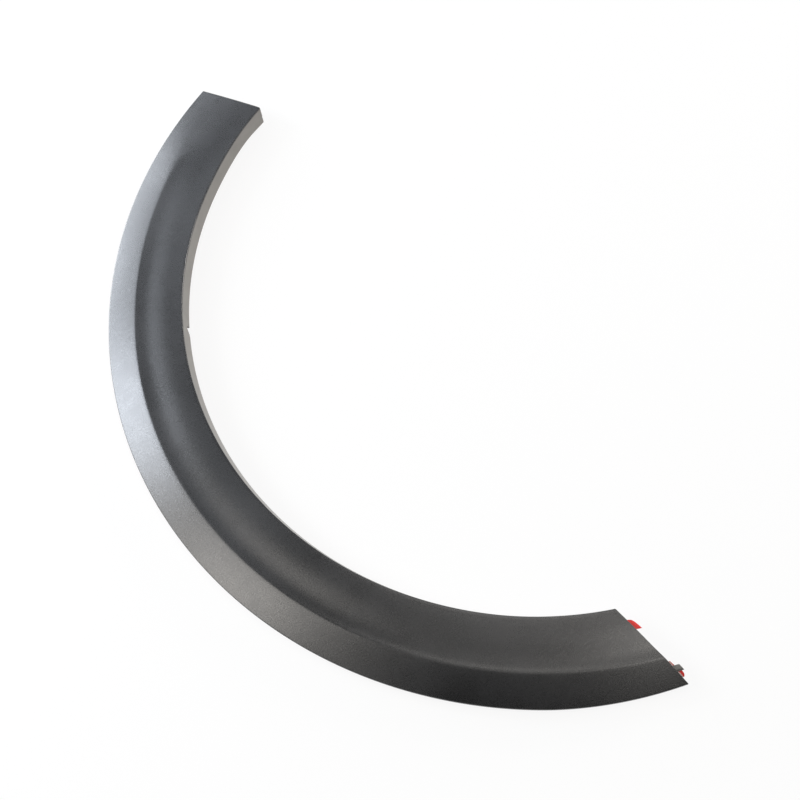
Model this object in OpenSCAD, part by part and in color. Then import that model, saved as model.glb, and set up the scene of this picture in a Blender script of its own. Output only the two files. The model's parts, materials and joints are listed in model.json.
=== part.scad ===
// Wheel arch trim, lying face up: a moulded shell with a bevelled outer band,
// a crease, a dished face and a return lip round the wheel opening. Its back
// has clip towers, gussets and two strips of foam tape with release liners.

/* [Arch] */
// Radius of the sharp inner edge of the face
inner_radius = 370; // [340:1:400]
// Radial width of the dished face, from the inner edge to the crease
face_width = 50.7; // [46:0.1:60]
// Radial width of the bevelled band, from the crease to the outer edge
band_width = 31.3; // [28:0.1:40]
// Angle of the squared upper end, at the middle of the width
upper_angle = 143.6; // [130:0.1:155]
// Angle of the mitred lower end, at the middle of the width
lower_angle = 282.55; // [275:0.05:295]
// Turn of the upper end's edge away from the radius
upper_skew = 6; // [0:0.5:12]
// Turn of the mitred end's edge away from the radius
lower_skew = 30; // [20:0.5:36]
// Narrowing of the band at the tip of the mitred end
tip_draw = 4.6; // [0:0.1:8]
// Widening of the face at the inner corner of the mitred end
heel_draw = 1.4; // [0:0.1:2]
// Part of the arch's length over which the band narrows and the face widens
tip_span = 0.12; // [0.05:0.01:0.3]

/* [Section] */
// Height of the inner edge above the outer edge
face_height = 17.4; // [15:0.1:22]
// Height of the crease above the outer edge
crease_height = 10.8; // [9:0.1:13]
// Convex roll of the face beside the inner edge
face_roll = 0.9; // [0:0.1:2]
// Hollow of the face beside the crease
crease_hollow = 1.5; // [0:0.1:2.5]
// Crown of the band between its two edges
band_crown = 0.7; // [0:0.1:1.5]
// Softness of the crease along most of the arch
crease_soft = 0.25; // [0.1:0.05:1]
// Softness of the crease where it fades out at the squared upper end
end_soft = 2; // [0.5:0.1:3]
// Narrowing of the face at the squared end
end_draw = 2; // [0:0.1:2.2]
// Part of the arch's length over which the section becomes flat at that end
end_span = 0.13; // [0.08:0.01:0.2]
// Wall of the shell under the face
wall = 2.8; // [2.2:0.1:3.2]
// Wall of the shell at the outer edge
edge_wall = 2.1; // [1.8:0.1:2.6]
// Depth of the outer edge's rim below the start of the band
rim_depth = 2.2; // [1.8:0.1:3]

/* [Lip] */
// Depth of the return lip below the inner edge
lip_depth = 15.5; // [13:0.1:20]
// Extra depth of the lip at the squared end
end_drop = 4; // [0:0.1:5]
// Set-back of the lip's foot from the squared end
end_setback = 4.3; // [1:0.1:6]
// Draft of the lip, which leans over the wheel opening
lip_draft = 3.4; // [1:0.1:5]
// Wall of the lip
lip_wall = 2.4; // [2:0.1:3]
// Width of the thinner foot along the lip's back edge
foot_width = 6.5; // [5:0.1:8]
// Step from the lip to its foot
foot_step = 0.6; // [0.2:0.1:0.9]
// Angle of the square side of the notch in the foot
notch_angle = 186.4; // [170:0.1:200]
// Length of the notch along the foot
notch_length = 14; // [8:0.5:20]

/* [Back] */
// Clips along the arch, each in its own tower
clip_count = 7; // [4:1:8]
// Distance from the crease to the line of clips
clip_inset = 16.2; // [15:0.1:18]
// Angle between the upper end and the first clip
first_clip = 5; // [4.5:0.1:8]
// Angle between the last clip and the mitred end
last_clip = 6.5; // [5.5:0.1:10]
// Tower size across the arch
tower_width = 20; // [18:0.5:21]
// Tower size along the arch
tower_length = 22; // [20:0.5:28]
// Wall of a tower
tower_wall = 1.8; // [1.4:0.1:2.4]
// Thickness of the plate that holds a clip
seat_plate = 2; // [1.6:0.1:2.4]
// Depth of a tower's foot below the outer edge's start
tower_depth = 1.4; // [0.6:0.1:2.2]
// Gussets along the lip
gusset_count = 26; // [12:1:30]
// Thickness of a gusset
gusset_wall = 1.4; // [1:0.1:2]
// Reach of a gusset along the face
gusset_reach = 4.5; // [3:0.1:4.8]
// Height of a gusset along the lip
gusset_height = 7; // [4:0.5:7]

/* [Tongue] */
// Distance from the outer edge to the middle of the locating tongue
tongue_inset = 20.2; // [19:0.1:24]
// Width of the tongue
tongue_width = 6; // [5:0.1:8]
// Length of the tongue past the mitred end
tongue_length = 7.8; // [5:0.1:10]
// Thickness of the tongue
tongue_wall = 2.2; // [1.6:0.1:2.4]

/* [Clip] */
// Diameter of the head that slides into a tower
head_d = 13; // [12:0.1:14]
// Thickness of the head
head_wall = 1.4; // [1:0.1:2]
// Diameter of the neck in the seat plate's slot
neck_d = 6; // [5:0.1:7]
// Diameter of the sealing collar below the tower
collar_d = 15; // [13:0.1:16]
// Thickness of the collar
collar_wall = 1.5; // [1:0.1:2]
// Diameter of the straight stem that enters the body panel
stem_d = 7.8; // [7:0.1:8.6]
// Length of the straight stem
stem_length = 7; // [5:0.1:9]
// Length of the tapered tip
tip_length = 4; // [3:0.1:6]
// Diameter of the flat end of the tip
tip_d = 3; // [2:0.1:4]
// Width of the slot that lets the tip spring
spring_slot = 1.3; // [0.8:0.1:1.4]
// Depth of the slot from the end of the tip
slot_depth = 6; // [3:0.1:6.5]
// Clearance between a clip and its tower
clip_gap = 0.15; // [0.1:0.05:0.3]

/* [Tape] */
// Width of the inner foam tape
inner_tape_width = 11; // [9:0.5:12.5]
// Width of the outer foam tape
outer_tape_width = 16; // [12:0.5:16.5]
// Thickness of the foam tapes
tape_wall = 1.1; // [0.8:0.1:1.6]
// Distance from the inner edge to the inner tape
inner_tape_inset = 9; // [8.7:0.1:10.5]
// Distance from the outer edge to the outer tape
outer_tape_inset = 12; // [11.5:0.1:14]
// Distance from the mitred end to the end of the tapes
tape_end = 12; // [10:0.5:20]
// Thickness of the release liners
liner_wall = 0.3; // [0.2:0.05:0.5]
// Reach of the inner liner's pull tab past the mitred end
inner_tab = 8.5; // [3:0.5:12]
// Reach of the outer liner's pull tab past the mitred end
outer_tab = 6; // [2:0.5:8]
// Gap between the shell, a tape and its liner
bond_gap = 0.08; // [0.05:0.01:0.2]

/* [Hidden] */
CLIP_NODES = [for (i = [1:clip_count]) str("clip_", i)];
plastic = [0.16, 0.165, 0.17];
foam = [0.12, 0.12, 0.125];
film = [0.85, 0.1, 0.07];
nylon = [0.86, 0.85, 0.8];
shell_rings = 82;
strip_rings = 36;
crease_radius = inner_radius + face_width;
outer_radius = crease_radius + band_width;
middle_radius = (inner_radius + outer_radius) / 2;
arch_length = middle_radius * (lower_angle - upper_angle) * PI / 180;
clip_radius = crease_radius - clip_inset;
slope = crease_height / band_width;
clip_bottom = tower_depth + collar_wall + clip_gap + stem_length + tip_length;
soft_reach = band_width;
tip_radius = outer_radius - tip_draw;
edge_round = 0.7;
fillet = 0.5;
rim_taper = 0.4;
back_shift = 0.6;
lip_root = 0.25;

// Angle of an end's edge at radius r: a straight line that crosses the middle
// radius at the given angle and leans away from the radius by the skew.
function edge_angle(r, angle, skew) =
    angle + skew - asin(middle_radius * sin(skew) / r);
function upper_edge(r) = edge_angle(r, upper_angle, upper_skew);
function lower_edge(r) = edge_angle(r, lower_angle, lower_skew);
function arc_degrees(length, r) = length / r * 180 / PI;
function at(r, a) = [r * cos(a), r * sin(a)];
function mix(a, b, t) = a + (b - a) * t;
function ease(t) = let(c = max(0, min(1, t))) c * c * (3 - 2 * c);

// The part's lowest points, the clip tips, are at zero height, and the plan's
// box is centred on the origin.
arch_centre = [(outer_radius - tip_radius * cos(lower_edge(tip_radius))) / 2,
    (outer_radius - outer_radius * sin(upper_edge(outer_radius))) / 2,
    clip_bottom];

// A station is where along the arch a section stands: the softness of its
// crease, the radii of its outer and inner edges, its flatness and the depth
// of its lip, at a share t of the way.
function near_end(t) = 1 - ease(t / end_span);
function near_tip(t) = pow(max(0, 1 - (1 - t) / tip_span), 1.5);
function station(t) = [
    mix(crease_soft, end_soft, near_end(t)),
    outer_radius - tip_draw * near_tip(t),
    inner_radius - heel_draw * near_tip(t) + end_draw * near_end(t),
    near_end(t),
    lip_depth + end_drop * near_end(t) * near_end(t)];
function station_at(a) = station((a - upper_angle) / (lower_angle - upper_angle));

// Front height at radius r. The band is a straight bevel with a slight crown,
// the face a cubic with a hollow beside the crease and a roll at the inner
// edge, and the softness rounds the crease where they meet. The flatness
// turns all of it into the straight line between the two edges.
function band_height(r, s) =
    let(u = (s[1] - r) / (s[1] - crease_radius))
    crease_height * u + (u < 1 ? 4 * band_crown * u * (1 - u) : 0);
function face_curve(r, s) =
    let(u = (r - s[2]) / (crease_radius - s[2]), v = 1 - u)
    v * v * v * face_height + 3 * v * v * u * (face_height + face_roll)
    + 3 * v * u * u * (crease_height - crease_hollow) + u * u * u * crease_height;
function creased(r, s) =
    let(b = band_height(r, s), f = face_curve(r, s), d = (r - crease_radius) / soft_reach,
        k = s[0] * max(0, 1 - d * d))
    (b + f) / 2 - sqrt((b - f) * (b - f) / 4 + k * k);
function chord(r, s) = face_height * (s[1] - r) / (s[1] - s[2]);
function front(r, s) = mix(creased(r, s), chord(r, s), s[3]);
function wall_at(r) = mix(wall, edge_wall, max(0, min(1, (r - crease_radius) / band_width)));
function under(r, s) = front(r, s) - wall_at(r) * sqrt(1 + slope * slope);

// Shell section as two matched lists of [radius, height], front and back,
// from the rim at the outer edge over the band and the face to the lip's end.
band_steps = [0.03, 0.22, 0.45, 0.68, 0.92];
face_steps = [0, 0.04, 0.14, 0.27, 0.41, 0.56, 0.72, 0.87, 0.97];
function top_radii(s) = concat(
    [for (u = band_steps) mix(s[1], crease_radius, u)],
    [for (v = face_steps) mix(crease_radius, s[2], v)]);
function back_radius(r, s) =
    mix(s[2] + lip_wall, s[1] - edge_wall, (r - s[2]) / (s[1] - s[2])) - back_shift;
foot_share = 1 - foot_width / lip_depth;
lip_steps = [0.08, 0.35, foot_share, foot_share + 0.04, 1];
function lip_radius(u, s) = s[2] - lip_draft * u + (u > foot_share ? foot_step : 0);
function lip_back(u, s) = s[2] - lip_draft * u + lip_wall;
function lip_height(u, s) = face_height - s[4] * u;
function shell_front(s) = concat(
    [[s[1], -rim_depth], [s[1], -edge_round], [s[1] - edge_round / 3, 0]],
    [for (r = top_radii(s)) [r, front(r, s)]],
    [[s[2] + edge_round / 3, face_height - edge_round / 3]],
    [for (u = lip_steps) [lip_radius(u, s), lip_height(u, s)]]);
function shell_back(s) = let(e = s[1] - edge_wall, corner = lip_back(0, s)) concat(
    [[e + rim_taper, -rim_depth], [e, under(e, s) - fillet], [e - fillet, under(e - fillet, s)]],
    [for (r = top_radii(s)) let(b = back_radius(r, s)) [b, under(b, s)]],
    [[corner - back_shift - 0.2, under(corner, s) - fillet]],
    [for (u = lip_steps) let(d = mix(lip_root, 1, u)) [lip_back(d, s), lip_height(d, s)]]);

// A solid swept along the arch between two end edges. The section gives its
// front and back lists at a share t of the way, and each point keeps its own
// radius, so that every edge is a true arc and both ends are cut straight.
module sweep(section, from, to, rings) {
    k = len(section(0)[0]);
    n = 2 * k;
    points = [for (j = [0:rings])
        let(t = j / rings, s = section(t), ring = concat(s[0], [for (i = [k - 1:-1:0]) s[1][i]]))
        for (p = ring)
            let(q = at(p[0], mix(from(p[0]), to(p[0]), t))) [q[0], q[1], p[1]]];
    sides = [for (j = [0:rings - 1], i = [0:n - 1])
        let(a = j * n + i, b = j * n + (i + 1) % n)
            each [[a, b, b + n], [a, b + n, a + n]]];
    first = [for (i = [0:k - 2]) [n - 1 - i, n - 2 - i, i + 1, i]];
    last = [for (i = [0:k - 2], e = [rings * n]) [e + i, e + i + 1, e + n - 2 - i, e + n - 1 - i]];
    polyhedron(points = points, faces = concat(sides, first, last), convexity = 6);
}

module shell() {
    sweep(function(t) let(s = station(t)) [shell_front(s), shell_back(s)],
        function(r) upper_edge(r), function(r) lower_edge(r), shell_rings);
}

// Angles of the clips, spaced evenly between the two end margins, and of the
// gussets, spaced evenly between the two ends
function clip_angle(i) =
    mix(upper_angle + first_clip, lower_angle - last_clip, (i - 1) / (clip_count - 1));
function gusset_angle(i) =
    mix(upper_angle, lower_edge(inner_radius), i / (gusset_count + 1));

// A block under the shell, from the tower's foot up into the wall of the face
module tower_block(width, length, floor, s) {
    r0 = clip_radius - width / 2;
    r1 = clip_radius + width / 2;
    half = arc_degrees(length / 2, clip_radius);
    steps = [0, 0.25, 0.5, 0.75, 1];
    roof = [for (u = steps) let(r = mix(r0, r1, u)) [r, under(r, s) + wall / 3]];
    rotate([0, 0, -half])
        rotate_extrude(angle = 2 * half, $fn = 360)
            polygon(concat([[r1, floor], [r0, floor]], roof));
}

// Tower for one clip: three walls, and a seat plate with a slot that opens on
// the side where the clip's head slides in
module tower(s) {
    inside = tower_width - 2 * tower_wall;
    slot = neck_d + 2 * clip_gap;
    difference() {
        tower_block(tower_width, tower_length, -tower_depth, s);
        rotate([0, 0, arc_degrees(-tower_wall, clip_radius)])
            tower_block(inside, tower_length, seat_plate - tower_depth, s);
        hull() {
            translate([clip_radius, 0, -tower_depth - 1])
                cylinder(d = slot, h = seat_plate + 2, $fn = 32);
            translate([clip_radius, -tower_length, -tower_depth - 1])
                cylinder(d = slot, h = seat_plate + 2, $fn = 32);
        }
    }
}

// A web that stands on the radius, from its outline in radius and height
module web(outline) {
    translate([0, gusset_wall / 2, 0])
        rotate([90, 0, 0])
            linear_extrude(height = gusset_wall)
                polygon(outline);
}

// Gusset between the lip and the underside of the face, rooted in both walls
module gusset(s) {
    root = lip_wall / 3;
    top = lip_back(0, s);
    u0 = (wall + wall / 3) / s[4];
    u1 = u0 + gusset_height / s[4];
    web([[lip_back(u0, s) - root, lip_height(u0, s)],
        [lip_back(u1, s) - root, lip_height(u1, s)],
        [lip_back(u1, s), lip_height(u1, s)],
        [top + gusset_reach, under(top + gusset_reach, s)],
        [top + gusset_reach, under(top + gusset_reach, s) + wall / 3],
        [top, under(top, s) + wall / 3]]);
}

// Rib between a tower and the crease, rooted in the tower and in the shell
module tower_rib(s) {
    r0 = clip_radius + tower_width / 2;
    r1 = crease_radius - 1;
    web([[r0 - tower_wall / 3, 0], [r0, 0], [r1, under(r1, s)],
        [r1, under(r1, s) + wall / 3], [r0 - tower_wall / 3, under(r0, s) + wall / 3]]);
}

// Locating tongue that runs past the mitred end, along the band's underside
module tongue() {
    r0 = outer_radius - tongue_inset - tongue_width / 2;
    r1 = r0 + tongue_width;
    radii = [r1, (r0 + r1) / 2, r0];
    root = arc_degrees(6, r0);
    reach = arc_degrees(tongue_length, r0);
    top = [for (r = radii) [r, under(r, station(1)) + wall / 2]];
    bottom = [for (p = top) [p[0], p[1] - tongue_wall]];
    sweep(function(t) [top, bottom], function(r) lower_edge(r) - root,
        function(r) lower_edge(r) + reach, 4);
}

// Sawtooth notch in the lip's foot: one side square, the other a ramp
module notch() {
    foot_z = face_height - lip_depth;
    top_z = foot_z + foot_width - 0.4;
    rotate([0, 0, notch_angle])
        translate([inner_radius - lip_draft - 3, 0, 0])
            rotate([90, 0, 90])
                linear_extrude(height = lip_wall + 8)
                    polygon([[0, foot_z - 1], [0, top_z], [1.5, top_z],
                        [notch_length, foot_z - 0.1], [notch_length, foot_z - 1]]);
}

// Slanted cut that sets the lip's foot back from the squared end
module end_cut() {
    s = station(0);
    top_z = lip_height(lip_steps[0], s);
    foot_z = lip_height(1, s);
    rise = (top_z - foot_z) / end_setback;
    r0 = s[2] - lip_draft - 1;
    rotate([0, 0, upper_edge(s[2])])
        translate([r0, 0, 0])
            rotate([90, 0, 90])
                linear_extrude(height = lip_back(0, s) - r0)
                    polygon([[-1, top_z + rise], [end_setback, foot_z],
                        [end_setback, foot_z - 1], [-1, foot_z - 1]]);
}

// Moulded shell with all that is moulded on its back
module moulding() {
    color(plastic)
        translate(arch_centre)
            difference() {
                union() {
                    shell();
                    tongue();
                    for (i = [1:clip_count])
                        rotate([0, 0, clip_angle(i)]) {
                            tower(station_at(clip_angle(i)));
                            tower_rib(station_at(clip_angle(i)));
                        }
                    for (i = [1:gusset_count], a = [gusset_angle(i)])
                        rotate([0, 0, a])
                            gusset(station_at(a));
                }
                notch();
                end_cut();
            }
}

// Tape or liner section between two radii, at a depth below the shell's back.
// The strip starts where the tapes do and ends at a reach past the mitred end.
function strip_section(r0, r1, depth, thick, reach, t) =
    let(s = station(mix(tape_end / arch_length, 1 + reach / arch_length, t)),
        radii = [for (u = [0:0.25:1]) mix(r1, r0, u)])
    [[for (r = radii) [r, under(r, s) - depth]],
        [for (r = radii) [r, under(r, s) - depth - thick]]];

module tape(r0, width) {
    margin = arc_degrees(tape_end, middle_radius);
    color(foam)
        translate(arch_centre)
            sweep(function(t) strip_section(r0, r0 + width, bond_gap, tape_wall, -tape_end, t),
                function(r) upper_edge(r) + margin, function(r) lower_edge(r) - margin,
                strip_rings);
}

// Release liner over a tape, with a pull tab past the mitred end. The lead is
// the share of the tab's reach that its inner corner has, and the bulge turns
// the tab's end into a part of a sine wave.
module liner(r0, width, tab, lead, bulge) {
    margin = arc_degrees(tape_end, middle_radius);
    depth = tape_wall + 2 * bond_gap;
    color(film)
        translate(arch_centre)
            sweep(function(t) strip_section(r0, r0 + width, depth, liner_wall, tab, t),
                function(r) upper_edge(r) + margin,
                function(r) lower_edge(r)
                    + arc_degrees(tab * mix(lead, 1, sin(bulge * (r - r0) / width)), r),
                strip_rings);
}

inner_tape_radius = inner_radius + inner_tape_inset;
outer_tape_radius = outer_radius - outer_tape_inset - outer_tape_width;

module tape_inner() {
    tape(inner_tape_radius, inner_tape_width);
}

module tape_outer() {
    tape(outer_tape_radius, outer_tape_width);
}

module liner_inner() {
    liner(inner_tape_radius, inner_tape_width, inner_tab, 0, 90);
}

module liner_outer() {
    liner(outer_tape_radius, outer_tape_width, outer_tab, 0.6, 180);
}

// Push-in clip: head above the seat plate, neck through its slot, collar below
// it, then the straight stem and the tapered tip, split so that it can spring
module clip(i) {
    head_z = seat_plate - tower_depth + clip_gap;
    collar_z = -tower_depth - clip_gap;
    stem_z = collar_z - collar_wall;
    tip_z = stem_z - stem_length;
    color(nylon)
        translate(arch_centre)
            rotate([0, 0, clip_angle(i)])
                translate([clip_radius, 0, 0])
                    difference() {
                        rotate_extrude($fn = 48)
                            polygon([[0, head_z + head_wall], [head_d / 2, head_z + head_wall],
                                [head_d / 2, head_z], [neck_d / 2, head_z], [neck_d / 2, collar_z],
                                [collar_d / 2, collar_z], [collar_d / 2, collar_z - collar_wall / 2],
                                [stem_d / 2, stem_z], [stem_d / 2, tip_z],
                                [tip_d / 2, tip_z - tip_length], [0, tip_z - tip_length]]);
                        translate([-stem_d, -spring_slot / 2, tip_z - tip_length - 1])
                            cube([2 * stem_d, spring_slot, slot_depth + 1]);
                    }
}

moulding();
tape_inner();
tape_outer();
liner_inner();
liner_outer();
for (i = [1:clip_count])
    clip(i);
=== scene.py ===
import json
import math
from itertools import pairwise

import bmesh
import bpy
from mathutils import Matrix, Vector


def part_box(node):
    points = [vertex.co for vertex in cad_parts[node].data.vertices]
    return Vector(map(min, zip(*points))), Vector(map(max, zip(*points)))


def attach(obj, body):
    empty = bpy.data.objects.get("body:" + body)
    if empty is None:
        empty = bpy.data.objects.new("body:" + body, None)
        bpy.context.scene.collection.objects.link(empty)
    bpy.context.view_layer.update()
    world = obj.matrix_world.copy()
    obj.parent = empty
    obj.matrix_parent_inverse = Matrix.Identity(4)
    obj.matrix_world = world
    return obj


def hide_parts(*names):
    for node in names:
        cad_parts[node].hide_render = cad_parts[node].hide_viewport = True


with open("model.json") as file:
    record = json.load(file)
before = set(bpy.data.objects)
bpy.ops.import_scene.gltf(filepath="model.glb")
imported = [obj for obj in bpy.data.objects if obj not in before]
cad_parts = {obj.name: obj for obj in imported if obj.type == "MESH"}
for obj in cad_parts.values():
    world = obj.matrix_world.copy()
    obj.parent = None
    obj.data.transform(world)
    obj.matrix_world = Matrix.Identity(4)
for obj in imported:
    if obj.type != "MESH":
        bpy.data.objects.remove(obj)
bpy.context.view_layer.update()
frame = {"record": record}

# The arch and the places of its clips, from the frame
mounts = {m["name"]: Vector(m["pos_m"]) for m in frame["record"]["mounts"]}
centre = mounts["wheel_axis"]
stems = [mounts[name] for name in sorted(mounts) if name.endswith("_stem")]

# The section, in metres, with radii about the wheel's axis
inner_radius = 0.370
crease_radius = 0.4207
outer_radius = centre.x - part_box("moulding")[0].x
middle_radius = (inner_radius + outer_radius) / 2
face_height = 0.0174
crease_height = 0.0108
face_handles = (0.01643, 0.01567, 0.0100)
band_crown = 0.00025
wall = 0.0028
edge_wall = 0.0021
rim_depth = 0.0022
edge_round = 0.0007
inner_round = 0.0007
# Paler rub along the inner bend, partly wear and partly a painted edge highlight
bend_wear_and_highlight = 0.2

# The return lip with its foot and notch. Shares are of the lip's depth, from its top
lip_depth = 0.0155
lip_draft = 0.0050
lip_wall = 0.0024
lip_start = 0.07
lip_back_start = 0.28
lip_end = 0.99
foot_width = 0.0065
foot_step = 0.0006
# Paler rub on the foot's step and edge, partly wear and partly a painted edge highlight
step_wear_and_highlight = 0.4
foot_wear_and_highlight = 0.6
step_share = 0.03
notch_angle = math.radians(186.05)
notch_flat = 0.0015
notch_length = 0.0115
notch_depth = foot_width - 0.0004

# The two ends: the squared upper one and the mitred lower one. Spans are shares of the way
upper_angle = math.radians(143.6)
upper_skew = math.radians(6)
lower_angle = math.radians(282.55)
lower_skew = math.radians(30)
tip_draw = 0.0046
heel_draw = 0.0014
tip_span = 0.12
tip_power = 1.5
crease_soft = 0.00025
end_soft = 0.002
end_draw = 0.002
end_crown = 0.0007
end_drop = 0.004
drop_power = 8
end_setback = 0.0043
end_span = 0.13
bow_span = 0.24
face_bow = 0.0007
end_round = 0.0004
pale_line_zone = 0.006
# How much paler the mitre's rounded end is painted: a painted highlight
mitre_painted_highlight = 0.5

# What stands on the back
small_bevel = 0.0002
clip_radius = (stems[0] - centre).xy.length
tower_width = 0.020
tower_length = 0.022
tower_wall = 0.0018
tower_depth = 0.0014
seat_plate = 0.002
seat_inset = 0.0003
seat_lift = 0.0001
neck_width = 0.0063
rib_overlap = 0.0005
rib_foot = 0.0001
rib_end = crease_radius - 0.0008
gusset_count = 26
gusset_wall = 0.0014
gusset_reach = 0.0045
gusset_height = 0.007
gusset_root = 0.0016
gusset_top = 0.0026
gusset_foot = 0.0024
gusset_tip = 0.0008
tongue_radius = outer_radius - 0.0202
tongue_width = 0.0056
tongue_wall = 0.0022
tongue_root = 0.006
tongue_length = 0.0068
tongue_round = 0.0005
# How much paler the tongue is painted: painted light
tongue_painted_light = 0.8

# Foam tapes and their release liners
tape_wall = 0.0011
tape_end = 0.012
liner_wall = 0.0003
bond_gap = 0.00008
strip_round = 0.0001
inner_tape = (inner_radius + 0.0095, inner_radius + 0.0195)
outer_tape = (outer_radius - 0.028, outer_radius - 0.012)
pale_line_reach = 0.0021
inner_tab = 0.0064
outer_tab = 0.0050

# How finely the pieces are drawn, and how much the points of a stretch bunch up at its end
rim_points = 3
corner_points = 6
band_points, band_bunch = 30, 1.7
face_points, face_bunch = 46, 0.8
bend_points = 8
lip_points = 9
foot_points = 6
shell_ring_count = 190
strip_ring_count = 160
clip_turns = 40
just_past = 1.3
merge_reach = 4e-6

slope = crease_height / (outer_radius - crease_radius)
lean = lip_draft / lip_depth
foot_height = face_height - lip_depth
sunk = wall / 3


class Wire:
    """A node's output. An expression on wires and numbers adds Math nodes."""

    def __init__(self, tree, socket):
        self.tree = tree
        self.socket = socket

    def math(self, operation, *values):
        inputs = dict(enumerate((self, *values)))
        return self.tree.node("ShaderNodeMath", inputs, operation=operation)

    def of(self, operation, value):
        return self.tree.node("ShaderNodeMath", {0: value, 1: self}, operation=operation)

    def __add__(self, other):
        return self.math("ADD", other)

    def __radd__(self, other):
        return self.of("ADD", other)

    def __sub__(self, other):
        return self.math("SUBTRACT", other)

    def __rsub__(self, other):
        return self.of("SUBTRACT", other)

    def __mul__(self, other):
        return self.math("MULTIPLY", other)

    def __rmul__(self, other):
        return self.of("MULTIPLY", other)

    def __truediv__(self, other):
        return self.math("DIVIDE", other)

    def __rtruediv__(self, other):
        return self.of("DIVIDE", other)

    def __pow__(self, other):
        return self.math("POWER", other)

    def __mod__(self, other):
        return self.math("FLOORED_MODULO", other)

    def __gt__(self, other):
        return self.math("GREATER_THAN", other)

    def __lt__(self, other):
        return self.math("LESS_THAN", other)


class Tree:
    """A node tree that is filled through one node-making method."""

    def __init__(self, tree):
        self.tree = tree

    def node(self, kind, inputs=(), out=0, **settings):
        """Adds a node: its settings first, then the values or links of its sockets."""
        made = self.tree.nodes.new(kind)
        for name, value in settings.items():
            setattr(made, name, value)
        for key, value in dict(inputs).items():
            if isinstance(value, Wire):
                self.tree.links.new(value.socket, made.inputs[key])
            else:
                made.inputs[key].default_value = value
        return Wire(self, made.outputs[out]) if made.outputs else None

    def split(self, vector):
        """The three numbers of a vector."""
        parts = self.node("ShaderNodeSeparateXYZ", {0: vector})
        return [Wire(self, socket) for socket in parts.socket.node.outputs]

    def vector(self, x, y, z):
        return self.node("ShaderNodeCombineXYZ", {0: x, 1: y, 2: z})

    def vector_math(self, operation, a, b):
        return self.node("ShaderNodeVectorMath", {0: a, 1: b}, operation=operation)


class ShapeTree(Tree):
    """A Geometry Nodes group with named inputs. Its first input is the object's own mesh."""

    def __init__(self, name, inputs):
        super().__init__(bpy.data.node_groups.new(name, "GeometryNodeTree"))
        ends = self.tree.interface
        self.names = {key: ends.new_socket(key, in_out="INPUT", socket_type=kind).identifier
                      for key, kind in inputs.items()}
        ends.new_socket("Mesh", in_out="OUTPUT", socket_type="NodeSocketGeometry")
        given = self.node("NodeGroupInput").socket.node
        self.got = {socket.name: Wire(self, socket) for socket in given.outputs if socket.name}

    def put_out(self, mesh):
        """Makes the mesh real, gives it its finish and ends the group with it."""
        real = self.node("GeometryNodeRealizeInstances", {0: mesh})
        painted = self.node("GeometryNodeSetMaterial",
                            {"Geometry": real, "Material": self.got["Finish"]})
        last = self.tree.nodes.new("NodeGroupOutput")
        self.tree.links.new(painted.socket, last.inputs[0])


def larger(a, b):
    """The larger of a number and a number or wire."""
    return b.math("MAXIMUM", a) if isinstance(b, Wire) else max(a, b)


def smaller(a, b):
    """The smaller of a number and a number or wire."""
    return b.math("MINIMUM", a) if isinstance(b, Wire) else min(a, b)


def root(x):
    return x.math("SQRT") if isinstance(x, Wire) else math.sqrt(x)


def arcsine(x):
    return x.math("ARCSINE") if isinstance(x, Wire) else math.asin(x)


def mix(a, b, t):
    return a + (b - a) * t


def ease(t):
    c = smaller(1, larger(0, t))
    return c * c * (3 - 2 * c)


# The arch's own rules. They work on numbers and on wires alike.
def edge_angle(r, angle, skew):
    """Angle of an end's edge at a radius: a straight line that leans by the skew."""
    return angle + skew - arcsine(middle_radius * math.sin(skew) / r)


def upper_edge(r):
    return edge_angle(r, upper_angle, upper_skew)


def lower_edge(r):
    return edge_angle(r, lower_angle, lower_skew)


def near_end(t, span=end_span):
    """1 at the squared end, and 0 from the span on."""
    return 1 - ease(t / span)


def station(t):
    """The section at a share of the way: crease softness, radii of the outer and
    inner edges, flatness, depth of the lip, and how far the face is bowed outwards."""
    flat = near_end(t)
    tip = larger(0, 1 - (1 - t) / tip_span) ** tip_power
    return (mix(crease_soft, end_soft, flat), outer_radius - tip_draw * tip,
            inner_radius - heel_draw * tip + end_draw * flat, flat,
            lip_depth + end_drop * flat ** drop_power, near_end(t, bow_span))


def front(r, at):
    """Height of the front: a bevelled band and a dished face, blended at the crease,
    and a straight line between the edges where the section is flat. A crown or bow is
    4 * height * share * (1 - share), and the face is a curve with three handles."""
    soft, outer, inner, flat, _, bow = at
    u = (outer - r) / (outer - crease_radius)
    band = crease_height * u + 4 * band_crown * larger(0, u * (1 - u))
    v = (r - inner) / (crease_radius - inner)
    w = 1 - v
    a, b, c = face_handles
    face = (w * w * w * w * face_height + 4 * w * w * w * v * a + 6 * w * w * v * v * b
            + 4 * w * v * v * v * c + v * v * v * v * crease_height)
    face = mix(face, mix(face_height, crease_height, v) + 4 * face_bow * w * v, bow)
    away = (r - crease_radius) / (outer_radius - crease_radius)
    k = soft * larger(0, 1 - away * away)
    creased = (band + face) / 2 - root((band - face) * (band - face) / 4 + k * k)
    s = (outer - r) / (outer - inner)
    return mix(creased, s * (face_height + 4 * end_crown * (1 - s)), flat)


def wall_drop(r):
    """How far the back lies below the front."""
    share = (r - crease_radius) / (outer_radius - crease_radius)
    return mix(wall, edge_wall, smaller(1, larger(0, share))) * math.sqrt(1 + slope * slope)


def under(r):
    """Height of the back halfway along the arch, where the section is plain."""
    return front(r, station(0.5)) - wall_drop(r)


# Sections. A point is (radius, share of the front's height, height to add, wear with a painted
# edge highlight).
def spaced(a, b, count, tight=1.0):
    """Values from a to just before b, closer together near b where tight is over 1."""
    return [mix(a, b, 1 - (1 - i / count) ** tight) for i in range(count)]


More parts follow.
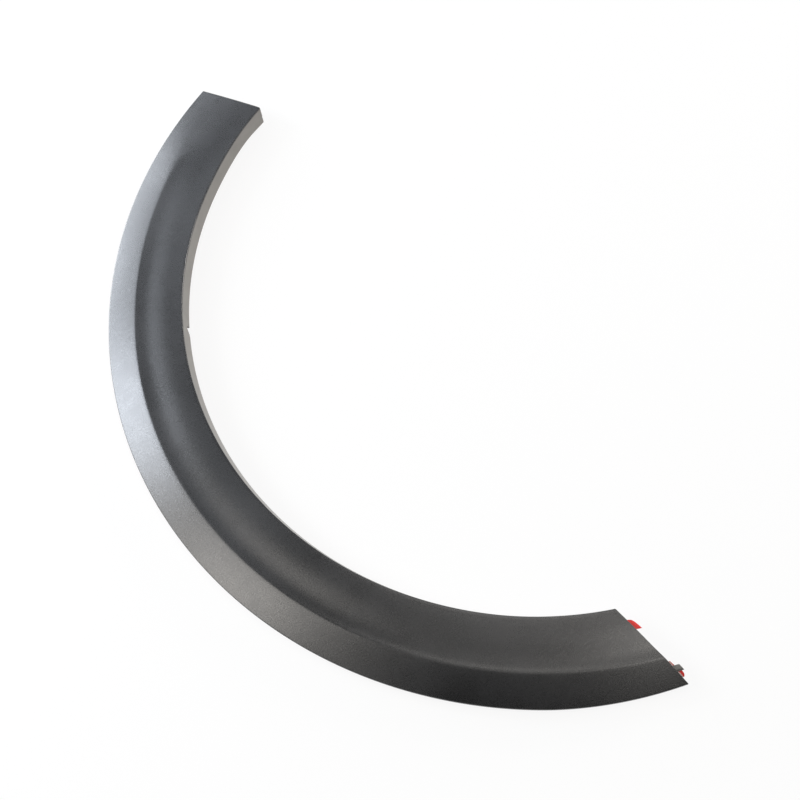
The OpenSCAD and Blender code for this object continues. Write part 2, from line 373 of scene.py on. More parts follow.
def arc(x, z, radius, a, b, count, wear=1.0):
    """Round corner about (x, z), from angle a to angle b in degrees."""
    turns = [math.radians(mix(a, b, i / (count - 1))) for i in range(count)]
    return [(x + radius * math.cos(q), 0, z + radius * math.sin(q), wear) for q in turns]


def back_of(r):
    """Radius on the back that faces a radius on the front."""
    share = (r - inner_radius) / (outer_radius - inner_radius)
    return mix(inner_radius + lip_wall, outer_radius - edge_wall, share) - edge_round


def rim_lines():
    """The small rim along the outer edge with its rounded corner, in front and behind."""
    turn = math.degrees(math.atan(slope + 4 * band_crown / (outer_radius - crease_radius)))
    q = math.radians(90 - turn)
    z = edge_round * ((1 - math.cos(q)) * math.tan(math.radians(turn)) - math.sin(q))
    rim = [(outer_radius, 0, low, 0) for low in spaced(-rim_depth, z, rim_points)]
    rim += arc(outer_radius - edge_round, z, edge_round, 0, 90 - turn, corner_points)
    inside = outer_radius - edge_wall
    top = under(inside) - edge_round
    behind = [(inside + edge_round / 2, 0, -rim_depth, 0)]
    behind += [(inside, 0, low, 0) for low in spaced(-rim_depth / 2, top, rim_points - 1)]
    behind += arc(inside - edge_round, top, edge_round, 0, 80, corner_points, 0)
    return rim, behind


def bend_lines():
    """The sharp bend between the face and the lip, and a small fillet behind it."""
    turn = math.degrees(math.atan(lean))
    corner = inner_round * math.tan(math.radians(90 - turn) / 2)
    bend = arc(inner_radius + corner, face_height - inner_round, inner_round, 90, 180 - turn,
               bend_points, bend_wear_and_highlight)
    r, drop = back_of(inner_radius), wall_drop(inner_radius + lip_wall)
    in_step, down_step = 0.00004, 0.0001
    behind = [(r - i * in_step, 1, -drop - i * down_step, 0) for i in range(bend_points)]
    return bend, behind


def lip_lines():
    """The lip and its thinner foot. Their edges are a little worn and painted paler, partly as a
    painted edge highlight.
    """
    def at_share(share, inwards=0.0, wear=0.0):
        return inner_radius - lip_draft * share + inwards, 0, face_height - lip_depth * share, wear

    step = 1 - foot_width / lip_depth
    lip = [at_share(u) for u in spaced(lip_start, step, lip_points)]
    lip += [at_share(step, wear=step_wear_and_highlight)]
    lip += [at_share(u, foot_step) for u in spaced(step + step_share, lip_end, foot_points)]
    lip += [at_share(1, foot_step * 1.5, foot_wear_and_highlight)]
    last = len(lip) - 1
    behind = [at_share(mix(lip_back_start, lip_end, i / (last - 1)), lip_wall)
              for i in range(last)]
    behind += [at_share(1, lip_wall - foot_step / 2)]
    return lip, behind


def shell_section():
    """Front and back of the shell, from the rim over band and face to the lip's foot."""
    (rim, rim_back), (bend, bend_back), (lip, lip_back) = rim_lines(), bend_lines(), lip_lines()
    radii = spaced(rim[-1][0] - edge_round, crease_radius, band_points, band_bunch)
    radii += spaced(crease_radius, inner_radius + 2 * inner_round, face_points, face_bunch)
    top = [(r, 1, 0, 0) for r in radii]
    top_back = [(back_of(r), 1, -wall_drop(back_of(r)), 0) for r in radii]
    return rim + top + bend + lip, rim_back + top_back + bend_back + lip_back


def strip_section(r0, r1, depth, thick, count=16):
    """A flat strip that follows the shell's back, with a slight round on its corners."""
    radii = [mix(r1, r0, i / (count - 1)) for i in range(count)]
    nick = [thick / 4 if i in (0, count - 1) else 0 for i in range(count)]
    above = [(r, 1, -wall_drop(r) - depth - n, 0) for r, n in zip(radii, nick)]
    below = [(r, 1, -wall_drop(r) - depth - thick + n, 0) for r, n in zip(radii, nick)]
    return above, below


# Rings. A ring is (share of the way, pinch, shift along the arch, lift of the foot, pull).
def ring_ends(ring_list, rounding, pinch, start=(0, 0.0), end=(1, 0.0), pull=0.0):
    """Rounded ends: the section narrows over the rounding and closes on its middle line.
    Start and end are a share of the way and a shift along the arch. A ring just past the
    rounding keeps it short."""
    turns = [(pinch * (1 - math.sin(q)), rounding * (1 - math.cos(q)))
             for q in (math.radians(a) for a in (0, 30, 60, 90))]
    turns += [(0, rounding * just_past)]
    (t0, shift0), (t1, shift1) = start, end
    first = [(t0, 1, shift0, 0, 0)] + [(t0, p, shift0 + d, 0, 0) for p, d in turns]
    last = [(t1, p, shift1 - d, 0, pull) for p, d in turns[::-1]] + [(t1, 1, shift1, 0, pull)]
    return first + ring_list + last


def shell_rings(count):
    """Even rings, and close ones at the notch, where the foot lifts at once and comes
    down along a ramp."""
    r = inner_radius - lip_draft
    span = lower_edge(r) - upper_edge(r)
    notch = (notch_angle - upper_edge(r)) / span
    flat = notch + notch_flat / r / span
    end = notch + notch_length / r / span
    just_before = notch - 1e-5
    places = sorted([i / count for i in range(1, count)] + [just_before, notch, flat, end]
                    + [mix(flat, end, i / 4) for i in range(1, 4)])

    def lift(t):
        return 0 if t < notch or t > end else notch_depth * min(1, (end - t) / (end - flat))
    return ring_ends([(t, 0, 0, lift(t), 0) for t in places], end_round, 0.3)


def strip_rings(count, start, end, pull=0.0):
    """Rings of a strip that starts and ends at a distance from the arch's ends."""
    even = [(i / count, 0, mix(start, end, i / count), 0, 0) for i in range(1, count)]
    return ring_ends(even, strip_round, 0.4, (0, start), (1, end), pull)


def points_mesh(name, places, values):
    """A mesh of bare points, with named values on them."""
    mesh = bpy.data.meshes.new(name)
    mesh.from_pydata([tuple(p) for p in places], [], [])
    for key, numbers in values.items():
        kind = "FLOAT_VECTOR" if isinstance(numbers[0], tuple) else "FLOAT"
        layer = mesh.attributes.new(key, kind, "POINT")
        for item, value in zip(layer.data, numbers):
            if kind == "FLOAT":
                item.value = value
            else:
                item.vector = value
    made = bpy.data.objects.new(name, mesh)
    bpy.context.scene.collection.objects.link(made)
    return made


def arch_tree():
    """Sweep of a section along the arch, for the shell, the tongue, the tapes and the liners."""
    tree = ShapeTree("arch_sweep", {
        "Section": "NodeSocketGeometry", "Rings": "NodeSocketObject",
        "Section points": "NodeSocketInt", "Ring count": "NodeSocketInt",
        "Follow the edges": "NodeSocketFloat", "Centre": "NodeSocketVector",
        "Finish": "NodeSocketMaterial"})
    got, follow = tree.got, tree.got["Follow the edges"]
    rings = tree.node("GeometryNodeObjectInfo", {0: got["Rings"]}, out="Geometry")
    grid = tree.node("GeometryNodeMeshGrid", {
        "Size X": 1.0, "Size Y": 1.0,
        "Vertices X": got["Ring count"], "Vertices Y": got["Section points"]})
    index = tree.node("GeometryNodeInputIndex")
    along = (index / got["Section points"]).math("FLOOR")
    across = index % got["Section points"]

    def sampled(source, kind, name, place):
        value = (tree.node("GeometryNodeInputPosition") if name is None else
                 tree.node("GeometryNodeInputNamedAttribute", {"Name": name}, data_type=kind))
        return tree.node("GeometryNodeSampleIndex", {0: source, 1: value, 2: place},
                         data_type=kind, domain="POINT")

    section = sampled(got["Section"], "FLOAT_VECTOR", None, across)
    middle = sampled(got["Section"], "FLOAT_VECTOR", "middle", across)
    reach = sampled(got["Section"], "FLOAT", "reach", across)
    wear = sampled(got["Section"], "FLOAT", "wear", across)
    ring = sampled(rings, "FLOAT_VECTOR", None, along)
    lift = sampled(rings, "FLOAT", "lift", along)
    pull = sampled(rings, "FLOAT", "pull", along)
    t, pinch, shift = tree.split(ring)
    point = tree.node("ShaderNodeMix", {0: pinch, 4: section, 5: middle}, out=1,
                      data_type="VECTOR")
    flat_r, share, height = tree.split(point)
    at = station(t)
    beyond = larger(0, flat_r - crease_radius) / (outer_radius - crease_radius)
    within = smaller(1, larger(0, crease_radius - flat_r) / (crease_radius - inner_radius))
    drawn_r = flat_r + follow * (
        beyond * (at[1] - outer_radius) + within * (at[2] - inner_radius))
    on_lip = (flat_r < inner_radius + lip_wall) * (1 - share) * follow
    below = on_lip * (face_height - height)
    plain_z = share * front(drawn_r, at) + height - below * (at[4] / lip_depth - 1)
    lifted_z = plain_z.math("MAXIMUM", foot_height + lift)
    z = plain_z + (lifted_z - plain_z) * on_lip * (lift > 0)
    r = drawn_r + (z - plain_z) * lean
    set_back = below * (end_setback / lip_depth) * near_end(t)
    angle = mix(upper_edge(r), lower_edge(r), t) + (shift + reach * pull + set_back) / r
    place = tree.vector(r * angle.math("COSINE"), r * angle.math("SINE"), z)
    place = tree.vector_math("ADD", place, got["Centre"])
    mesh = tree.node("GeometryNodeSetPosition", {"Geometry": grid, "Position": place})
    # Rounded ends are marked as rubbed edges, partly a painted edge highlight. The lip and the
    # mitre's rounded end are marked to be painted paler: painted light
    rounded = pinch > 0
    painted_end_highlight = rounded * (t > 0.5) * mitre_painted_highlight
    marks = {"wear": wear.math("MAXIMUM", rounded * (pinch < 0.9)),
             "lip": (below > 2 * inner_round).math("MAXIMUM", painted_end_highlight)}
    for name, value in marks.items():
        mesh = tree.node("GeometryNodeStoreNamedAttribute",
                         {"Geometry": mesh, "Name": name, "Value": value},
                         data_type="FLOAT", domain="POINT")
    mesh = tree.node("GeometryNodeMergeByDistance", {"Geometry": mesh, "Distance": merge_reach})
    mesh = tree.node("GeometryNodeSetShadeSmooth", {"Geometry": mesh}, domain="FACE")
    bent = tree.node("GeometryNodeInputMeshEdgeAngle") > math.radians(32)
    mesh = tree.node("GeometryNodeSetShadeSmooth",
                     {"Geometry": mesh, "Selection": bent, "Shade Smooth": False}, domain="EDGE")
    tree.put_out(mesh)
    return tree


def ring_tree():
    """Copies of one shape at even angles round the wheel's axis, for towers and gussets.
    Their heights are scaled with the shell's, so that their tops stay inside its wall."""
    tree = ShapeTree("round_the_axis", {
        "Shape": "NodeSocketGeometry", "Count": "NodeSocketInt",
        "First angle": "NodeSocketFloat", "Last angle": "NodeSocketFloat",
        "Follow the edges": "NodeSocketFloat", "Centre": "NodeSocketVector",
        "Finish": "NodeSocketMaterial"})
    got = tree.got
    points = tree.node("GeometryNodePoints", {"Count": got["Count"], "Position": got["Centre"]})
    index = tree.node("GeometryNodeInputIndex")
    angle = mix(got["First angle"], got["Last angle"], index / (got["Count"] - 1))
    turned = tree.node("GeometryNodeInstanceOnPoints", {
        "Points": points, "Instance": got["Shape"], "Rotation": tree.vector(0, 0, angle)})
    real = tree.node("GeometryNodeRealizeInstances", {0: turned})
    here = tree.node("GeometryNodeInputPosition")
    x, y, z = tree.split(tree.vector_math("SUBTRACT", here, got["Centre"]))
    r = root(x * x + y * y)
    t = (y.math("ARCTAN2", x) % math.tau - upper_angle) / (lower_angle - upper_angle)
    at = station(t)
    drawn_r = r + got["Follow the edges"] * (at[2] - inner_radius)
    fit = (front(drawn_r, at) - wall_drop(drawn_r)) / under(r)
    fitted_z = smaller(0, z) + larger(0, z) * fit
    place = tree.vector(x * drawn_r / r, y * drawn_r / r, fitted_z)
    place = tree.vector_math("ADD", place, got["Centre"])
    tree.put_out(tree.node("GeometryNodeSetPosition", {"Geometry": real, "Position": place}))
    return tree


def plain_mesh(made):
    """The plain mesh of an object with its modifiers. The object is then removed."""
    bpy.context.view_layer.update()
    evaluated = made.evaluated_get(bpy.context.evaluated_depsgraph_get())
    mesh = bpy.data.meshes.new_from_object(evaluated)
    bpy.data.objects.remove(made)
    return mesh


def grown(base, tree, values):
    """The plain mesh that a geometry tree makes of an object."""
    change = base.modifiers.new("Grow", "NODES")
    change.node_group = tree.tree
    for name, value in values.items():
        change[tree.names[name]] = value
    return plain_mesh(base)


def swept(name, section, rings, finish, reach=None, follow=0.0):
    """Mesh of a section swept along the arch. It follows the shell's edges where told to,
    and the reach at a radius moves the rings that have a pull."""
    above, below = section
    loop = above + below[::-1] + above[:1]
    partner = below + above[::-1] + below[:1]
    middle = [tuple((a + b) / 2 for a, b in zip(p[:3], q[:3])) for p, q in zip(loop, partner)]
    base = points_mesh(name, [p[:3] for p in loop], {
        "middle": middle, "wear": [p[3] for p in loop],
        "reach": [reach(p[0]) if reach else 0.0 for p in loop]})
    guide = points_mesh(name + "_rings", [ring[:3] for ring in rings], {
        "lift": [ring[3] for ring in rings], "pull": [ring[4] for ring in rings]})
    mesh = grown(base, arch_sweep, {
        "Rings": guide, "Section points": len(loop), "Ring count": len(rings),
        "Follow the edges": follow, "Centre": centre, "Finish": finish})
    bpy.data.objects.remove(guide)
    return mesh


def prism(outline, low, high, bevel=small_bevel, wall_top=None):
    """Closed solid of a plan outline. A wall top gives the upper face a height at each radius."""
    shape = bmesh.new()
    bottom = [shape.verts.new((x, y, low)) for x, y in outline]
    top = [shape.verts.new((x, y, wall_top(x) if wall_top else high)) for x, y in outline]
    shape.faces.new(bottom[::-1])
    shape.faces.new(top)
    for (a, b), (c, d) in zip(pairwise(bottom + bottom[:1]), pairwise(top + top[:1])):
        shape.faces.new((a, b, d, c))
    bmesh.ops.recalc_face_normals(shape, faces=shape.faces)
    soften(shape, bevel)
    return shape


def soften(shape, width):
    """Rounds the sharp edges of a small solid and triangulates its flat faces."""
    sharp = [e for e in shape.edges if e.calc_face_angle(0) > math.radians(40)]
    bmesh.ops.bevel(shape, geom=sharp, offset=width, segments=2, profile=0.5, affect="EDGES",
                    clamp_overlap=True)
    bmesh.ops.triangulate(shape, faces=[f for f in shape.faces if len(f.verts) > 4])


def upright(outline, thickness):
    """Closed web of an outline in radius and height, centred on the radius."""
    web = prism(outline, -thickness / 2, thickness / 2)
    for vertex in web.verts:
        x, y, z = vertex.co
        vertex.co = (x, -z, y)
    return web


def joined(name, shapes):
    """One mesh object out of several small solids, smooth but for its sharp edges."""
    whole = bmesh.new()
    for shape in shapes:
        part = bpy.data.meshes.new("part")
        shape.to_mesh(part)
        whole.from_mesh(part)
        bpy.data.meshes.remove(part)
        shape.free()
    for face in whole.faces:
        face.smooth = True
    for edge in whole.edges:
        edge.smooth = edge.calc_face_angle(0) < math.radians(50)
    mesh = bpy.data.meshes.new(name)
    whole.to_mesh(mesh)
    whole.free()
    made = bpy.data.objects.new(name, mesh)
    bpy.context.scene.collection.objects.link(made)
    return made


def tower_shape():
    """Clip tower: three walls, a seat plate with an open slot, and a rib to the crease."""
    r0, r1 = clip_radius - tower_width / 2, clip_radius + tower_width / 2
    half, slot, w = tower_length / 2, neck_width / 2, tower_wall
    walls = [(r0, -half), (r0 + w, -half), (r0 + w, half - w), (r1 - w, half - w),
             (r1 - w, -half), (r1, -half), (r1, half), (r0, half)]
    bow = [(clip_radius - slot * math.cos(a), slot * math.sin(a))
           for a in (math.pi * i / 12 for i in range(13))]
    near, far, side = r0 + seat_inset, r1 - seat_inset, half - seat_inset
    seat = [(near, -side), (clip_radius - slot, -side), *bow, (clip_radius + slot, -side),
            (far, -side), (far, side), (near, side)]
    rib = [(r1 - rib_overlap, 0), (r1 + rib_foot, 0), (rib_end, under(rib_end)),
           (rib_end, under(rib_end) + sunk), (r1 - rib_overlap, under(r1) + sunk)]
    return joined("tower_shape", [
        prism(walls, -tower_depth, 0, wall_top=lambda r: under(r) + sunk),
        prism(seat, seat_lift - tower_depth, seat_plate - tower_depth),
        upright(rib, gusset_wall)])


def gusset_shape():
    """Gusset between the lip and the underside of the face."""
    r0 = inner_radius + lip_wall - gusset_root
    r1 = r0 + gusset_reach
    top = under(r0 + gusset_top) + sunk
    low = top - gusset_height
    foot = r0 - lean * (face_height - low)
    web = [(foot, low), (foot + gusset_foot, low), (r1, top - gusset_tip), (r1, top), (r0, top)]
    return joined("gusset_shape", [upright(web, gusset_wall)])


def angle_of(point):
    """Angle of a point round the wheel's axis, from 0 to a full turn."""
    return math.atan2(point.y - centre.y, point.x - centre.x) % math.tau


def finished(name, meshes, finish, *nodes):
    """One piece out of meshes, in place of CAD nodes."""
    whole = bmesh.new()
    for mesh in meshes:
        whole.from_mesh(mesh)
    for face in whole.faces:
        face.material_index = 0
    mesh = bpy.data.meshes.new(name)
    whole.to_mesh(mesh)
    whole.free()
    mesh.materials.append(finish)
    piece = bpy.data.objects.new(name, mesh)
    bpy.context.scene.collection.objects.link(piece)
    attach(piece, "root")
    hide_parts(*nodes)


class Finish(Tree):
    """A procedural material in Object coordinates, with one Principled shader."""

    def __init__(self, name, slot=""):
        self.material = bpy.data.materials.new(name)
        self.material["slot"] = slot
        self.material.use_nodes = True
        super().__init__(self.material.node_tree)
        self.tree.nodes.clear()
        self.place = self.node("ShaderNodeTexCoord", out="Object")

    def attribute(self, name):
        return self.node("ShaderNodeAttribute", out="Fac", attribute_name=name)

    def noise(self, size, detail=2.0, roughness=0.5):
        """Noise from 0 to 1 whose spots are about a size across, in metres."""
        return self.node("ShaderNodeTexNoise", {
            "Vector": self.place, "Scale": 1 / size, "Detail": detail, "Roughness": roughness})

    def cells(self, size):
        """Distance to the nearest of points about a size apart, from 0."""
        return self.node("ShaderNodeTexVoronoi", {"Vector": self.place, "Scale": 1 / size})

    def ramp(self, value, low, high):
        """0 below low, 1 above high, smooth between."""
        return self.node("ShaderNodeMapRange", {0: value, 1: low, 2: high, 3: 0.0, 4: 1.0},
                         interpolation_type="SMOOTHSTEP")

    def colour(self, factor, low, high):
        """Between two colour values."""
        return self.blend(factor, (*low, 1), high)

    def blend(self, factor, low, high):
        """Between a colour link and a colour value."""
        return self.node("ShaderNodeMix", {0: factor, 6: low, 7: (*high, 1)}, out=2,
                         data_type="RGBA")

    def bump(self, height, strength, distance, normal=None):
        values = {"Strength": strength, "Distance": distance, "Height": height}
        if normal:
            values["Normal"] = normal
        return self.node("ShaderNodeBump", values)

    def surface(self, **values):
        """Sets the shader and gives the material. Names have underscores for spaces."""
        inputs = {name.replace("_", " "): value for name, value in values.items()}
        shader = self.node("ShaderNodeBsdfPrincipled", inputs)
        self.node("ShaderNodeOutputMaterial", {"Surface": shader})
        return self.material


def moulded_plastic():
    """Black grained plastic: fine moulded grain, faint flow clouds, edges rubbed paler, partly as
    a painted edge highlight, and a smooth lip, the mitre's rounded end and the tongue painted
    paler as painted light."""
    f = Finish("grained_plastic", "trim_plastic")
    cloud = f.noise(0.11, 3.0)
    flow = f.noise(0.018, 2.0)
    grain = f.noise(0.0009, 2.0, 0.65)
    pores = f.cells(0.0011)
    # Edges are painted paler in spots: partly rubbed wear, partly a painted edge highlight
    rub_and_edge_highlight = f.attribute("wear") * f.ramp(f.noise(0.004, 3.0), 0.3, 0.7)
    lip = f.attribute("lip")
    patches = f.ramp(cloud * 0.5 + grain * 0.5, 0.35, 0.65)
    tone = f.colour(patches, (0.008, 0.0082, 0.0087), (0.026, 0.0265, 0.028))
    tone = f.blend(rub_and_edge_highlight * 0.5, tone, (0.06, 0.061, 0.063))
    # Painted light: where the lip mark is set (lip, mitre's rounded end, tongue) the plastic is
    # painted paler, not a paler plastic
    tone = f.blend(lip * (0.85 + 0.3 * (flow - 0.5)), tone, (0.21, 0.202, 0.190))
    rough = (0.28 + 0.12 * (grain - 0.5) + 0.05 * (cloud - 0.5) + 0.05 * (flow - 0.5)
             - 0.05 * rub_and_edge_highlight + 0.04 * lip)
    bump = f.bump(grain * 0.6 + pores * 0.4, 0.5, 0.0001)
    bump = f.bump(flow, 0.08, 0.0002, bump)
    return f.surface(Base_Color=tone, Roughness=rough, Normal=bump, IOR=1.62)


def foam():
    """Closed-cell foam of the tapes."""
    f = Finish("dark_foam", "foam_tape")
    cells = f.cells(0.0007)
    patch = f.noise(0.01, 3.0)
    tone = f.colour(f.ramp(cells, 0.1, 0.6), (0.030, 0.030, 0.032), (0.055, 0.055, 0.058))
    return f.surface(Base_Color=tone, Roughness=0.82 + 0.1 * (patch - 0.5),
                     Normal=f.bump(cells + patch * 0.5, 0.5, 0.00025))


def red_film():
    """Glossy red release film, with slight waves and scuffs, and a pale line on the outer liner
    beside the mitre."""
    f = Finish("red_film", "release_liner")
    wave = f.noise(0.012, 2.0)
    scuff = f.ramp(f.noise(0.0015, 4.0, 0.7), 0.5, 0.75)
    x, y, _ = f.split(f.place)
    x, y = x - centre.x, y - centre.y
    turn = lower_angle + lower_skew
    past = middle_radius * math.sin(lower_skew) - x * math.sin(turn) + y * math.cos(turn)
    outer_end = (x * x + y * y > crease_radius ** 2) * (past > -pale_line_zone) * (y < 0)
    # A pale line on the outer liner along the mitre, fading out just past it
    pale_line = outer_end * (1 - f.ramp(past + 0.0004 * (f.noise(0.002) - 0.5),
                                   pale_line_reach * 0.75, pale_line_reach))
    tone = f.colour(wave, (0.78, 0.014, 0.010), (0.88, 0.026, 0.018))
    tone = f.blend(scuff * 0.08, tone, (0.85, 0.22, 0.18))
    tone = f.blend(pale_line * 0.85, tone, (0.90, 0.66, 0.62))
    return f.surface(Base_Color=tone, Roughness=0.30 + 0.14 * scuff, IOR=1.36,
                     Normal=f.bump(wave, 0.25, 0.0006))


def nylon():
    """Natural nylon of the clips, with fine mould marks."""
    f = Finish("natural_nylon", "clip_nylon")
    cloud = f.noise(0.006, 3.0)
    grain = f.noise(0.0005, 2.0)
    tone = f.colour(cloud, (0.66, 0.64, 0.57), (0.76, 0.745, 0.68))
    return f.surface(Base_Color=tone, Roughness=0.38 + 0.12 * (cloud - 0.5),
                     Subsurface_Weight=0.1, Subsurface_Radius=(0.002, 0.0018, 0.0014),
                     Normal=f.bump(grain, 0.2, 0.00006))


plastic, tape_foam, film, clip_plastic = moulded_plastic(), foam(), red_film(), nylon()
arch_sweep = arch_tree()
round_axis = ring_tree()


def make_tongue():
    """Small locating tongue past the mitred end, rooted under the band."""
    r0, r1 = tongue_radius - tongue_width / 2, tongue_radius + tongue_width / 2
    section = strip_section(r0, r1, -wall / 2, tongue_wall, 8)
    even = [(1, 0, mix(-tongue_root, tongue_length, i / 6), 0, 0) for i in range(1, 6)]
    rings = ring_ends(even, tongue_round, 0.5, (1, -tongue_root), (1, tongue_length))
    mesh = swept("tongue", section, rings, plastic)
    # The tongue is painted paler through the lip mark: painted light
    for item in mesh.attributes["lip"].data:
        item.value = tongue_painted_light
    return mesh


def make_moulding():
    """The shell with its tongue, towers and gussets."""
    shell = swept("shell", shell_section(), shell_rings(shell_ring_count), plastic, follow=1.0)
    tongue = make_tongue()
    towers = grown(tower_shape(), round_axis, {
        "Count": len(stems), "First angle": angle_of(stems[0]), "Last angle": angle_of(stems[-1]),
        "Centre": centre, "Finish": plastic})
    first, last = upper_angle, lower_edge(inner_radius)
    gussets = grown(gusset_shape(), round_axis, {
        "Count": gusset_count, "First angle": mix(first, last, 1 / (gusset_count + 1)),
        "Last angle": mix(first, last, gusset_count / (gusset_count + 1)),
        "Follow the edges": 1.0, "Centre": centre, "Finish": plastic})
    finished("moulding_finish", [shell, tongue, towers, gussets], plastic, "moulding")


def make_tape(name, radii):
    section = strip_section(*radii, bond_gap, tape_wall)
    rings = strip_rings(strip_ring_count, tape_end, -tape_end)
    finished(name + "_foam", [swept(name, section, rings, tape_foam)], tape_foam, name)


def make_liner(name, radii, tab, lead, bulge, lean_out):
    """Release liner whose pull tab ends in a part of a sine wave, drawn to one side. The
    lead is the tab's least reach, as a share of the tab."""
    r0, r1 = radii
    section = strip_section(r0, r1, tape_wall + 2 * bond_gap, liner_wall)
    rings = strip_rings(strip_ring_count, tape_end, 0, pull=1.0)

    def reach(r):
        return tab * mix(lead, 1, math.sin(bulge * max(0, (r - r0) / (r1 - r0)) ** lean_out))
    finished(name + "_film", [swept(name, section, rings, film, reach)], film, name)


def clip_body():
    """Half profile of the clip in millimetres, from the head down, turned about its axis."""
    head = [(0, 2.15), (5.6, 2.15), (6.3, 1.95), (6.5, 1.5), (6.5, 1.1), (6.2, 0.85), (5.6, 0.75)]
    neck = [(3.2, 0.75), (3.0, 0.55), (3.0, -1.35), (3.2, -1.55)]
    collar = [(6.9, -1.55), (7.4, -1.75), (7.5, -2.1), (7.2, -2.5), (4.4, -3.02)]
    barbs = [(3.8, -3.2), (3.75, -5.2), (4.25, -5.9), (4.2, -6.2), (3.4, -7.0), (3.4, -8.0),
             (3.9, -8.6), (3.85, -8.9), (2.9, -9.9)]
    tip = [(2.7, -10.9), (1.9, -13.2), (1.3, -13.95), (0, -14.02)]
    shape = bmesh.new()
    profile = head + neck + collar + barbs + tip
    line = [shape.verts.new((x / 1000, 0, z / 1000)) for x, z in profile]
    edges = [shape.edges.new(pair) for pair in pairwise(line)]
    bmesh.ops.spin(shape, geom=line + edges, cent=(0, 0, 0), axis=(0, 0, 1), angle=math.tau,
                   steps=clip_turns, use_merge=True, use_duplicate=False)
    bmesh.ops.remove_doubles(shape, verts=shape.verts, dist=1e-6)
    bmesh.ops.recalc_face_normals(shape, faces=shape.faces)
    return joined("clip_body", [shape])


def clip_mesh():
    """Push-in clip about its own axis: head, neck, collar and a split stem with barbs."""
    body = clip_body()
    length, half, low, high = 0.009, 0.00065, -0.0155, -0.00805
    gap = prism([(-length, -half), (length, -half), (length, half), (-length, half)], low, high, 0)
    cutter = joined("clip_gap", [gap])
    cut = body.modifiers.new("Slot", "BOOLEAN")
    cut.operation = "DIFFERENCE"
    cut.solver = "EXACT"
    cut.object = cutter
    mesh = plain_mesh(body)
    bpy.data.objects.remove(cutter)
    mesh.materials.clear()
    mesh.materials.append(clip_plastic)
    return mesh


def make_clips():
    """A clip in each tower, turned with the arch."""
    shape = clip_mesh()
    for number, stem in enumerate(stems, 1):
        mesh = shape.copy()
        place = Vector((stem.x, stem.y, centre.z))
        mesh.transform(Matrix.Translation(place) @ Matrix.Rotation(angle_of(stem), 4, "Z"))
        finished("clip_%d_nylon" % number, [mesh], clip_plastic, "clip_%d" % number)


make_moulding()
make_tape("tape_inner", inner_tape)
make_tape("tape_outer", outer_tape)
make_liner("liner_inner", inner_tape, inner_tab, 0.35, math.pi / 2, 0.4)
make_liner("liner_outer", outer_tape, outer_tab, 0.5, math.pi, 2)
make_clips()


# Stage, lamps and camera
def floor_finish():
    """White to the camera and in reflections, and pale grey with a faint shadow to light."""
    f = Finish("pale_floor")
    path = f.node("ShaderNodeLightPath").socket.node.outputs
    seen = [Wire(f, path[name])
            for name in ("Is Camera Ray", "Is Glossy Ray", "Is Transmission Ray")]
    lit = f.node("ShaderNodeBsdfDiffuse", {"Color": (0.8, 0.8, 0.8, 1)})
    white = f.node("ShaderNodeEmission", {"Color": (1, 1, 1, 1), "Strength": 1.0})
    share = smaller(1, seen[0] + seen[1] + seen[2]) * 0.9
    shown = f.node("ShaderNodeMixShader", {0: share, 1: lit, 2: white})
    f.node("ShaderNodeOutputMaterial", {"Surface": shown})
    return f.material


def make_floor():
    """Flat floor that curves up far away."""
    rim, flat_steps, rise, curve_steps, turns = 7.0, 4, 4.0, 10, 64
    shape = bmesh.new()
    levels = [(rim * i / flat_steps, 0.0) for i in range(flat_steps + 1)]
    levels += [(rim + rise * math.sin(a), rise * (1 - math.cos(a)))
               for a in (math.pi / 2 * i / curve_steps for i in range(1, curve_steps + 1))]
    circle = [(math.cos(math.tau * k / turns), math.sin(math.tau * k / turns))
              for k in range(turns)]
    loops = [[shape.verts.new((r * x, r * y, z)) for x, y in circle] for r, z in levels]
    for low, high in pairwise(loops):
        for k in range(turns):
            shape.faces.new((low[k], low[k - 1], high[k - 1], high[k]))
    bmesh.ops.remove_doubles(shape, verts=shape.verts, dist=1e-4)
    for face in shape.faces:
        face.smooth = True
    mesh = bpy.data.meshes.new("floor")
    shape.to_mesh(mesh)
    shape.free()
    mesh.materials.append(floor_finish())
    floor = bpy.data.objects.new("floor", mesh)
    bpy.context.scene.collection.objects.link(floor)


def softbox(name, azimuth, elevation, power, tint, distance=2.2, side=0.6):
    """A soft square lamp that faces the object. Azimuth 0 stands at the camera's side, and
    positive ones stand to the right."""
    a, e = math.radians(azimuth), math.radians(elevation)
    away = Vector((math.sin(a) * math.cos(e), -math.cos(a) * math.cos(e), math.sin(e)))
    lamp = bpy.data.lights.new(name, "AREA")
    lamp.shape = "RECTANGLE"
    lamp.size, lamp.size_y = side, side
    lamp.energy = power
    lamp.color = tint
    made = bpy.data.objects.new(name, lamp)
    made.location = away * distance
    made.rotation_euler = away.to_track_quat("Z", "Y").to_euler()
    bpy.context.scene.collection.objects.link(made)


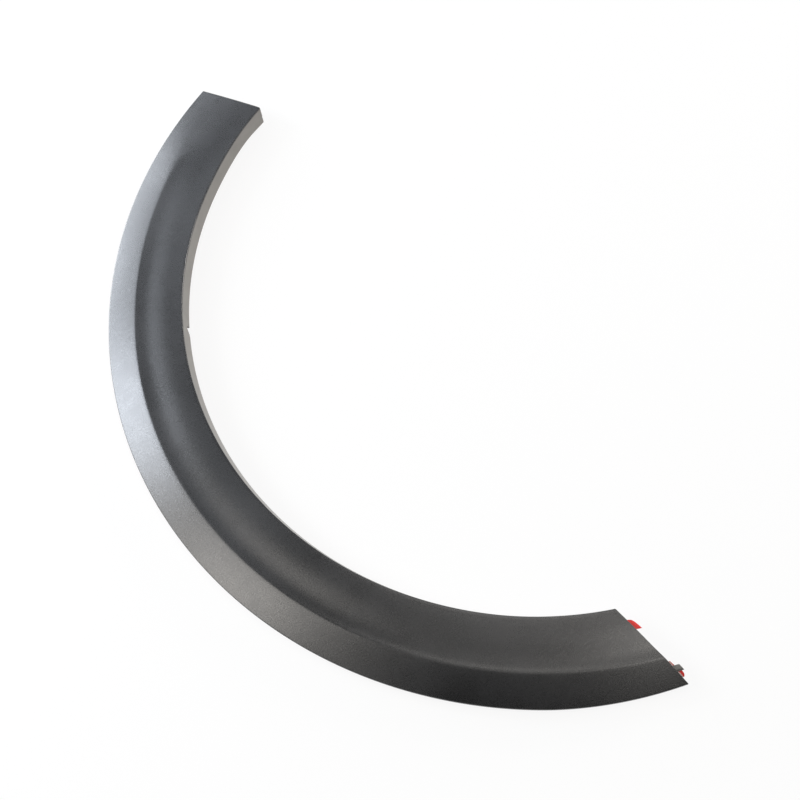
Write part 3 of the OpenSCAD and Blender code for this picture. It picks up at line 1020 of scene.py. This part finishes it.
def make_lamps():
    """Soft panels round the object, each with its azimuth, elevation and watts. The ones on
    the left light the band and the face, cool far round and warm nearer the camera, and the
    bright low one on the right and behind lights the lip."""
    left_low = ((-150, 12, 5), (-135, 12, 9), (-120, 15, 14), (-105, 20, 7))
    left_middle = ((-135, 28, 2), (-120, 30, 4), (-105, 35, 19), (-88, 35, 4))
    left_high = ((-150, 45, 2), (-88, 50, 2), (-70, 45, 8), (-48, 50, 1), (-70, 60, 4),
                 (-120, 62, 1))
    overhead = ((-20, 80, 1), (45, 58, 3), (60, 70, 5), (120, 75, 2), (180, 78, 3))
    right_behind = ((120, 12, 44),)
    cool, warm, cool_from = (0.93, 0.99, 1.08), (1.04, 1.0, 0.95), -100
    panels = left_low + left_middle + left_high + overhead + right_behind
    for azimuth, elevation, watts in panels:
        softbox("panel_%d_%d" % (azimuth % 360, elevation), azimuth, elevation, watts,
                cool if azimuth < cool_from else warm)


def make_camera():
    """Camera at the photograph's angle: above, a little to the right, and rolled."""
    azimuth, elevation, roll = math.radians(12.19), math.radians(63.34), math.radians(-13.65)
    place = centre + Vector((0.00715, -0.8348, 1.4302))
    back = Vector((math.sin(azimuth) * math.cos(elevation),
                   -math.cos(azimuth) * math.cos(elevation), math.sin(elevation)))
    right = Vector((math.cos(azimuth), math.sin(azimuth), 0))
    up = back.cross(right)
    turned = right * math.cos(roll) + up * math.sin(roll)
    lens = bpy.data.cameras.new("camera")
    lens.lens = 72
    lens.sensor_width = 36
    lens.clip_end = 50
    camera = bpy.data.objects.new("camera", lens)
    axes = Matrix((turned, back.cross(turned), back)).transposed().to_4x4()
    camera.matrix_world = Matrix.Translation(place) @ axes
    bpy.context.scene.collection.objects.link(camera)
    bpy.context.scene.camera = camera


def make_world():
    world = bpy.data.worlds.new("dim_room")
    world.use_nodes = True
    background = world.node_tree.nodes["Background"]
    background.inputs[0].default_value = (0.02, 0.02, 0.02, 1)
    background.inputs[1].default_value = 1.0
    bpy.context.scene.world = world


make_floor()
make_world()
make_camera()
make_lamps()
bpy.context.scene.view_settings.view_transform = "Standard"
